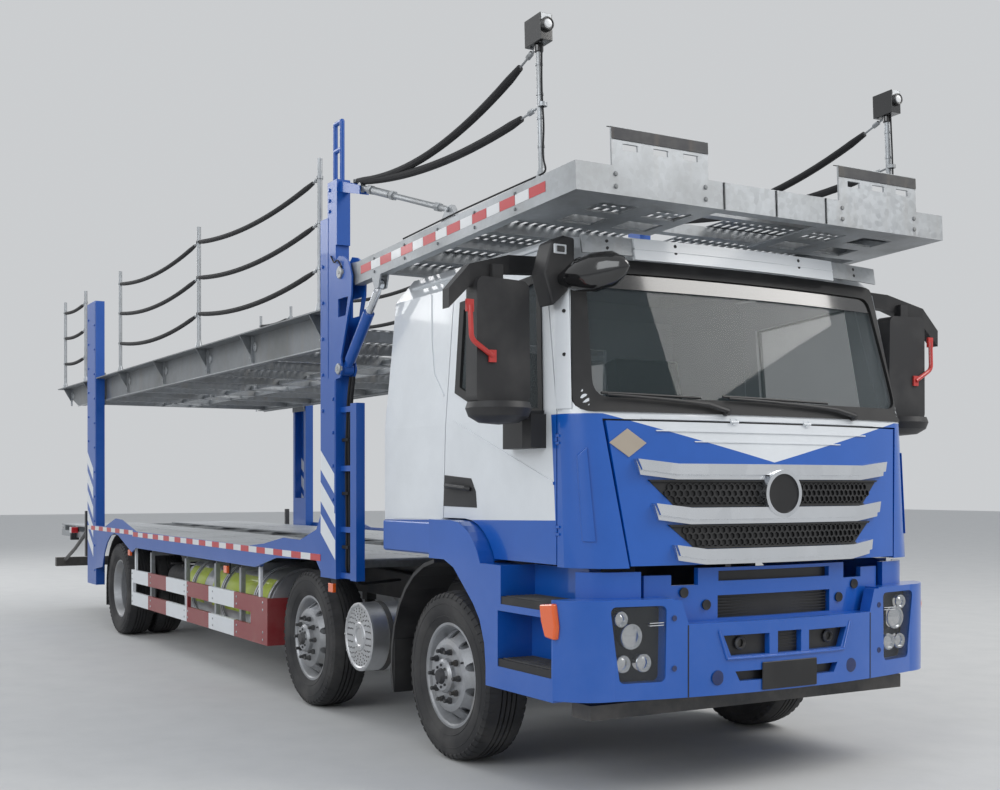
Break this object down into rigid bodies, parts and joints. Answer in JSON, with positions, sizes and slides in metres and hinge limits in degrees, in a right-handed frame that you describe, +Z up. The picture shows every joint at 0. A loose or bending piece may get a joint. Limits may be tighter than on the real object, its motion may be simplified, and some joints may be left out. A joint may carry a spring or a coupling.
{
  "type": "car transporter truck",
  "caption": "Rigid car transporter truck: low cab, tilting deck over the cab, lifting upper deck on posts, fixed lower deck, two steered axles and a twin-wheel drive axle.",
  "frame": {"origin": "on the ground, under the middle of the truck's length and width", "axes": "+X forward, +Y to the truck's left, +Z up"},
  "size_m": [12, 3.4, 3.9559],
  "materials": {
    "cab_white": "gloss",
    "cab_blue": "gloss",
    "frame_paint": "satin",
    "deck_paint": "satin",
    "galvanised": "satin",
    "chrome": "polished",
    "grille_mesh": "matte",
    "trim_plastic": "matte",
    "glass": "polished",
    "lamp_glass": "polished",
    "tyre": "matte",
    "rim_paint": "satin",
    "steel": "matte",
    "aluminium": "satin",
    "seat_fabric": "matte"
  },
  "bodies": {
    "chassis": {"axles": "steel", "battery_box": "trim_plastic", "bumper": "cab_blue", "bumper_grilles": "grille_mesh", "cab_glass": "glass", "cab_shell": "cab_white", "chassis_frame": "frame_paint", "dashboard": "trim_plastic", "engine_block": "steel", "front_posts": "deck_paint", "fuel_tanks": "aluminium", "lamps": "lamp_glass", "leaf_springs": "steel", "lower_deck": "galvanised", "lower_rails": "deck_paint", "mudguards": "trim_plastic", "rear_posts": "deck_paint", "seats": "seat_fabric", "side_guards": "trim_plastic", "silencer": "aluminium", "step_housings": "cab_blue", "step_treads": "trim_plastic", "under_run_bars": "frame_paint"},
    "steering_front_left": {"knuckle_front_left": "steel"},
    "wheel_front_left": {"tyre_front_left": "tyre", "rim_front_left": "rim_paint"},
    "steering_front_right": {"knuckle_front_right": "steel"},
    "wheel_front_right": {"tyre_front_right": "tyre", "rim_front_right": "rim_paint"},
    "steering_second_left": {"knuckle_second_left": "steel"},
    "wheel_second_left": {"tyre_second_left": "tyre", "rim_second_left": "rim_paint"},
    "steering_second_right": {"knuckle_second_right": "steel"},
    "wheel_second_right": {"tyre_second_right": "tyre", "rim_second_right": "rim_paint"},
    "wheel_rear_left": {"tyre_rear_left": "tyre", "rim_rear_left": "rim_paint"},
    "cab_door_left": {"door_left": "cab_white", "door_glass_left": "glass", "mirror_left": "trim_plastic"},
    "lift_cylinder_left": {"lift_barrel_left": "frame_paint"},
    "lift_piston_left": {"lift_rod_left": "chrome"},
    "wheel_rear_right": {"tyre_rear_right": "tyre", "rim_rear_right": "rim_paint"},
    "cab_door_right": {"door_right": "cab_white", "door_glass_right": "glass", "mirror_right": "trim_plastic"},
    "lift_cylinder_right": {"lift_barrel_right": "frame_paint"},
    "lift_piston_right": {"lift_rod_right": "chrome"},
    "service_flap": {"front_flap": "cab_blue", "trim_bars": "chrome", "nose_grille": "grille_mesh"},
    "over_cab_deck": {"cab_deck": "galvanised", "cab_deck_floor": "galvanised", "braces": "galvanised"},
    "lifting_deck": {"upper_deck": "galvanised", "upper_floor": "galvanised", "railing": "galvanised"}
  },
  "joints": [
    {"name": "steer_front_left", "type": "hinge", "parent": "chassis", "child": "steering_front_left", "pos_m": [4.5, 0.925, 0.478], "axis": [0, 0, 1], "range_deg": [-35, 35]},
    {"name": "steer_front_right", "type": "hinge", "parent": "chassis", "child": "steering_front_right", "pos_m": [4.5, -0.925, 0.478], "axis": [0, 0, 1], "range_deg": [-35, 35]},
    {"name": "steer_second_left", "type": "hinge", "parent": "chassis", "child": "steering_second_left", "pos_m": [2.42, 0.925, 0.478], "axis": [0, 0, 1], "range_deg": [-21, 21]},
    {"name": "steer_second_right", "type": "hinge", "parent": "chassis", "child": "steering_second_right", "pos_m": [2.42, -0.925, 0.478], "axis": [0, 0, 1], "range_deg": [-21, 21]},
    {"name": "spin_front_left", "type": "hinge", "parent": "steering_front_left", "child": "wheel_front_left", "pos_m": [4.5, 1.055, 0.478], "axis": [0, 1, 0], "continuous": true},
    {"name": "spin_front_right", "type": "hinge", "parent": "steering_front_right", "child": "wheel_front_right", "pos_m": [4.5, -1.055, 0.478], "axis": [0, 1, 0], "continuous": true},
    {"name": "spin_second_left", "type": "hinge", "parent": "steering_second_left", "child": "wheel_second_left", "pos_m": [2.42, 1.055, 0.478], "axis": [0, 1, 0], "continuous": true},
    {"name": "spin_second_right", "type": "hinge", "parent": "steering_second_right", "child": "wheel_second_right", "pos_m": [2.42, -1.055, 0.478], "axis": [0, 1, 0], "continuous": true},
    {"name": "spin_rear_left", "type": "hinge", "parent": "chassis", "child": "wheel_rear_left", "pos_m": [-2.66, 0.9495, 0.478], "axis": [0, 1, 0], "continuous": true},
    {"name": "spin_rear_right", "type": "hinge", "parent": "chassis", "child": "wheel_rear_right", "pos_m": [-2.66, -0.9495, 0.478], "axis": [0, 1, 0], "continuous": true},
    {"name": "door_left_swing", "type": "hinge", "parent": "chassis", "child": "cab_door_left", "pos_m": [5.583, 1.151, 1.9], "axis": [0, 0, -1], "range_deg": [0, 70]},
    {"name": "door_right_swing", "type": "hinge", "parent": "chassis", "child": "cab_door_right", "pos_m": [5.583, -1.151, 1.9], "axis": [0, 0, 1], "range_deg": [0, 70]},
    {"name": "flap_lift", "type": "hinge", "parent": "chassis", "child": "service_flap", "pos_m": [5.864, 0, 1.876], "axis": [0, -1, 0], "range_deg": [0, 70]},
    {"name": "cab_deck_tilt", "type": "hinge", "parent": "chassis", "child": "over_cab_deck", "pos_m": [3.208, 0, 2.933], "axis": [0, -1, 0], "range_deg": [-2, 12]},
    {"name": "cylinder_left_swing", "type": "hinge", "parent": "chassis", "child": "lift_cylinder_left", "pos_m": [3.185, 1.2215, 2.31], "axis": [0, -1, 0], "range_deg": [-1, 5]},
    {"name": "piston_left_slide", "type": "slide", "parent": "lift_cylinder_left", "child": "lift_piston_left", "axis": [0.7273, 0, 0.6863], "range_m": [-0.02, 0.095]},
    {"name": "cylinder_right_swing", "type": "hinge", "parent": "chassis", "child": "lift_cylinder_right", "pos_m": [3.185, -1.2215, 2.31], "axis": [0, -1, 0], "range_deg": [-1, 5]},
    {"name": "piston_right_slide", "type": "slide", "parent": "lift_cylinder_right", "child": "lift_piston_right", "axis": [0.7273, 0, 0.6863], "range_m": [-0.02, 0.095]},
    {"name": "upper_deck_lift", "type": "slide", "parent": "chassis", "child": "lifting_deck", "axis": [0, 0, 1], "range_m": [-1.05, 0.55]}
  ],
  "couplings": [
    {"joint": "steer_front_right", "follows": "steer_front_left", "ratio": 1},
    {"joint": "steer_second_left", "follows": "steer_front_left", "ratio": 0.6},
    {"joint": "steer_second_right", "follows": "steer_front_left", "ratio": 0.6},
    {"joint": "cylinder_left_swing", "follows": "cab_deck_tilt", "ratio": 0.387},
    {"joint": "piston_left_slide", "follows": "cab_deck_tilt", "m_per_rad": 0.4185},
    {"joint": "cylinder_right_swing", "follows": "cab_deck_tilt", "ratio": 0.387},
    {"joint": "piston_right_slide", "follows": "cab_deck_tilt", "m_per_rad": 0.4185}
  ]
}
